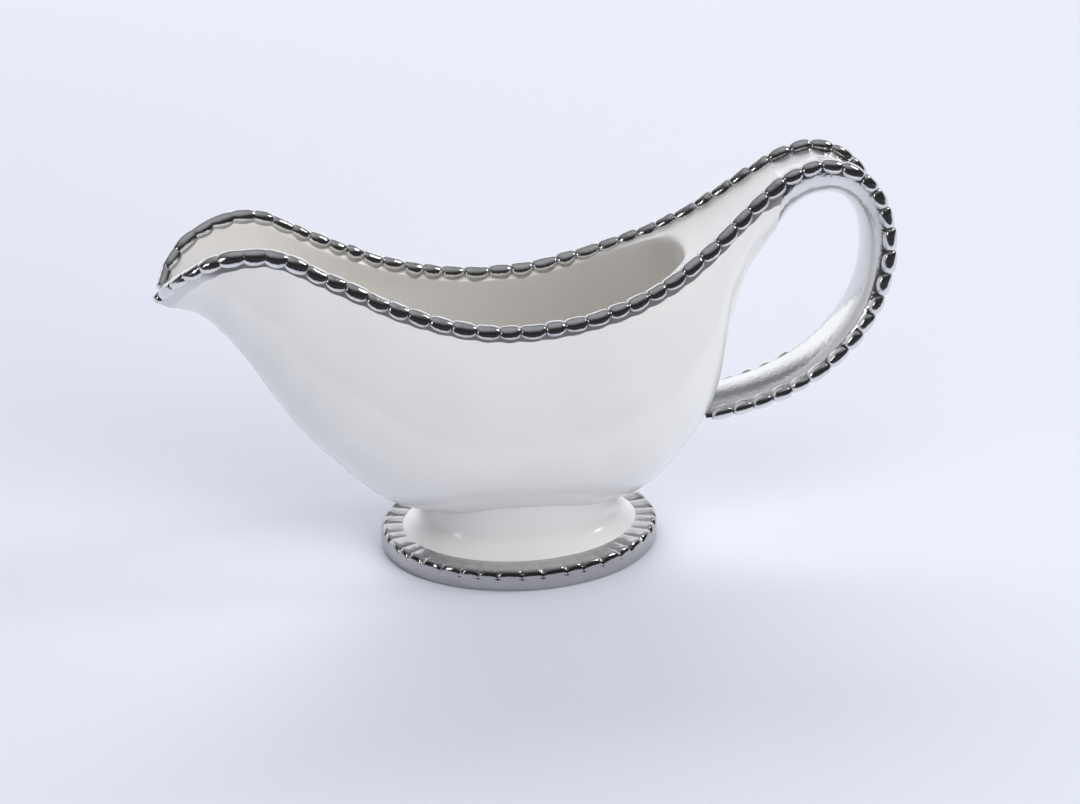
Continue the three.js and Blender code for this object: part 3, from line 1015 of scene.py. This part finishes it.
def silver():
    """Mirror silver, with painted shade that makes it a little dimmer where it stands close to the table.
    """
    shader = Shader(bpy.data.materials.new("silver_lustre"))
    cloud = shader.noise(120, 3)
    height = shader.node("ShaderNodeSeparateXYZ", {}, {0: shader.place()}, 2)
    # Painted shade: low down, near the table, the silver's colour is darkened.
    limits = {"From Min": SHADE_BELOW, "From Max": UNSHADED_ABOVE, "To Min": 1.0, "To Max": 0.0}
    low = shader.node("ShaderNodeMapRange", {}, {"Value": height, **limits})
    tone = shader.blend(low, shader.blend(cloud, *SILVER), shader.blend(cloud, *SHADED_SILVER))
    shader.set(Base_Color=tone, Metallic=1.0)
    shader.set(Roughness=0.10 + 0.10 * shader.noise(420, 3))
    ripple = 0.6 * shader.noise(330, 2) + 0.4 * shader.noise(900, 2)
    shader.set(Normal=shader.bump(ripple, 0.55, 0.3 * MM))
    return shader.owner


def floor_cloth():
    shader = Shader(bpy.data.materials.new("pale_floor"))
    shader.set(Base_Color=FLOOR_TONE, Roughness=0.75, Specular_IOR_Level=0.1)
    return shader.owner


# ---- Assembly ----
white = porcelain()
lustre = silver()
bowl = make_bowl()
strap = make_strap()
cutter = solid_bowl()
trim(strap, cutter)
rows = {}
for hand, side in SIDES.items():
    for part, plan, full, necks in (
        ("rim_beads_", RIM_PLANS[hand], RIM_BEAD, RIM_NECKS),
        ("handle_beads_", STRAP_PLANS[hand], STRAP_BEAD, STRAP_NECKS),
    ):
        rows[part + hand] = bead_string(part + hand + "_lustred", plan, full, necks, side, draws)
tip_bead = make_tip_bead()
foot = make_foot_ring(draws)
stem = make_foot_stem(bowl)
bpy.data.objects.remove(cutter)

SILVERED = [(strap, "handle"), (tip_bead, "spout_bead"), (foot, "foot_ring")]
SILVERED += [(row, node) for node, row in rows.items()]
FINISH = {
    "porcelain": (white, [(bowl, "bowl"), (stem, "foot_stem")]),
    "silver_trim": (lustre, SILVERED),
}
for slot_name, (material, pieces) in FINISH.items():
    for piece, node in pieces:
        piece.data.materials.clear()
        piece.data.materials.append(material)
        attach(piece, "root")
        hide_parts(node)


# ---- Floor, light and camera ----
FLOOR_SIZE = 7
FLOOR_PLACE = (0, 1.2, 0)
FLAG_SIZE = 4
FLAG_START = -0.115  # y of its edge by the object
FLAG_HEIGHT = 1 * MM
FLAG_TONE = (0.025, 0.025, 0.03, 1)
ROOM_TONE = (0.93, 0.95, 1.0, 1)
ROOM_DARK = 0.03
ROOM_GREY = 0.42  # added overhead
ROOM_WHITE = 1.25  # added behind the object
PLAIN = (1, 1, 1)
SOFT = (0.985, 0.99, 1.0)
# Name, place, aim, width, height, watts, tint, and whether the object's mirrors show it.
LIGHTS = [
    ("left_box", (-0.90, -0.50, 0.38), (0, 0, 0.06), 0.16, 0.45, 0.8, PLAIN, True),
    ("right_box", (0.84, -0.03, 0.80), (0, 0, 0.06), 0.20, 0.34, 1.7, PLAIN, True),
    ("back_light", (0.0, 1.6, 1.0), (0, 0, 0.0), 1.6, 1.0, 19.5, SOFT, False),
    ("front_left_light", (-0.9, -1.3, 0.8), (0, 0, 0.05), 1.2, 1.0, 0.3, SOFT, False),
    ("front_right_light", (0.9, -1.3, 0.8), (0, 0, 0.05), 1.2, 1.0, 12.0, SOFT, False),
    ("front_top_light", (0.0, -1.0, 1.5), (0, 0, 0.05), 1.4, 1.2, 8.4, SOFT, False),
]
CAMERA_TURN = -12.27  # degrees from straight in front, and above the level
CAMERA_RISE = 25.5
CAMERA_AIM = Vector((3.87, 0, 46.98)) * MM
CAMERA_DISTANCE = 1316.7 * MM
LENS = 140


def make_floor():
    deselect()
    bpy.ops.mesh.primitive_plane_add(size=FLOOR_SIZE, location=FLOOR_PLACE)
    floor = bpy.context.object
    floor.name = "studio_floor"
    bpy.ops.object.transform_apply(location=True, rotation=True, scale=True)
    floor.data.materials.append(floor_cloth())
    deselect()


def softbox(name, place, aim, width, height, watts, tint, mirrored):
    light = bpy.data.lights.new(name, "AREA")
    light.shape = "RECTANGLE"
    light.size = width
    light.size_y = height
    light.energy = watts
    light.color = tint
    lamp = bpy.data.objects.new(name, light)
    bpy.context.scene.collection.objects.link(lamp)
    lamp.location = place
    lamp.rotation_euler = (Vector(aim) - Vector(place)).to_track_quat("-Z", "Y").to_euler()
    lamp.visible_camera = False
    lamp.visible_glossy = mirrored


def make_flag():
    """A black cloth on the table in front of the object, which only its mirrored surfaces show."""
    deselect()
    middle = FLAG_START - FLAG_SIZE / 2
    bpy.ops.mesh.primitive_plane_add(size=FLAG_SIZE, location=(0, middle, FLAG_HEIGHT))
    flag = bpy.context.object
    flag.name = "black_flag"
    bpy.ops.object.transform_apply(location=True, rotation=True, scale=True)
    shader = Shader(bpy.data.materials.new("black_cloth"))
    shader.set(Base_Color=FLAG_TONE, Roughness=1.0)
    flag.data.materials.append(shader.owner)
    flag.visible_camera = False
    flag.visible_diffuse = False
    flag.visible_shadow = False
    flag.visible_transmission = False
    deselect()


def make_world():
    """A dim room: white behind the object, grey overhead, black low down on the camera's side."""
    world = bpy.data.worlds.new("studio")
    bpy.context.scene.world = world
    room = Shader(world)
    tree = room.tree
    tree.nodes.clear()
    place = room.node("ShaderNodeTexCoord", output="Generated")
    split = tree.nodes.new("ShaderNodeSeparateXYZ")
    tree.links.new(place.socket, split.inputs[0])
    depth, height = Signal(room, split.outputs["Y"]), Signal(room, split.outputs["Z"])

    def stretch(value, low, high, at_low, at_high):
        inputs = {"Value": value, "From Min": low, "From Max": high, "To Min": at_low, "To Max": at_high}
        settings = {"interpolation_type": "SMOOTHSTEP"}
        return room.node("ShaderNodeMapRange", settings, inputs)

    behind = stretch(depth, 0.15, 0.80, 0.0, 1.0) * stretch(height, 0.80, 0.35, 0.0, 1.0)
    overhead = stretch(height, 0.45, 1.10, 0.0, 1.0)
    strength = ROOM_DARK + ROOM_GREY * overhead + ROOM_WHITE * behind
    sky = room.node("ShaderNodeBackground", {}, {"Color": ROOM_TONE, "Strength": strength})
    room.node("ShaderNodeOutputWorld", {}, {"Surface": sky})


def make_camera():
    azimuth, elevation = math.radians(CAMERA_TURN), math.radians(CAMERA_RISE)
    back = Vector((
        math.sin(azimuth) * math.cos(elevation),
        -math.cos(azimuth) * math.cos(elevation),
        math.sin(elevation),
    ))
    data = bpy.data.cameras.new("camera")
    data.lens = LENS
    data.sensor_width = 36
    camera = bpy.data.objects.new("camera", data)
    bpy.context.scene.collection.objects.link(camera)
    camera.location = CAMERA_AIM + back * CAMERA_DISTANCE
    camera.rotation_euler = (-back).to_track_quat("-Z", "Y").to_euler()
    bpy.context.scene.camera = camera


make_floor()
make_flag()
make_world()
for light in LIGHTS:
    softbox(*light)
make_camera()
bpy.context.scene.view_settings.view_transform = "Standard"
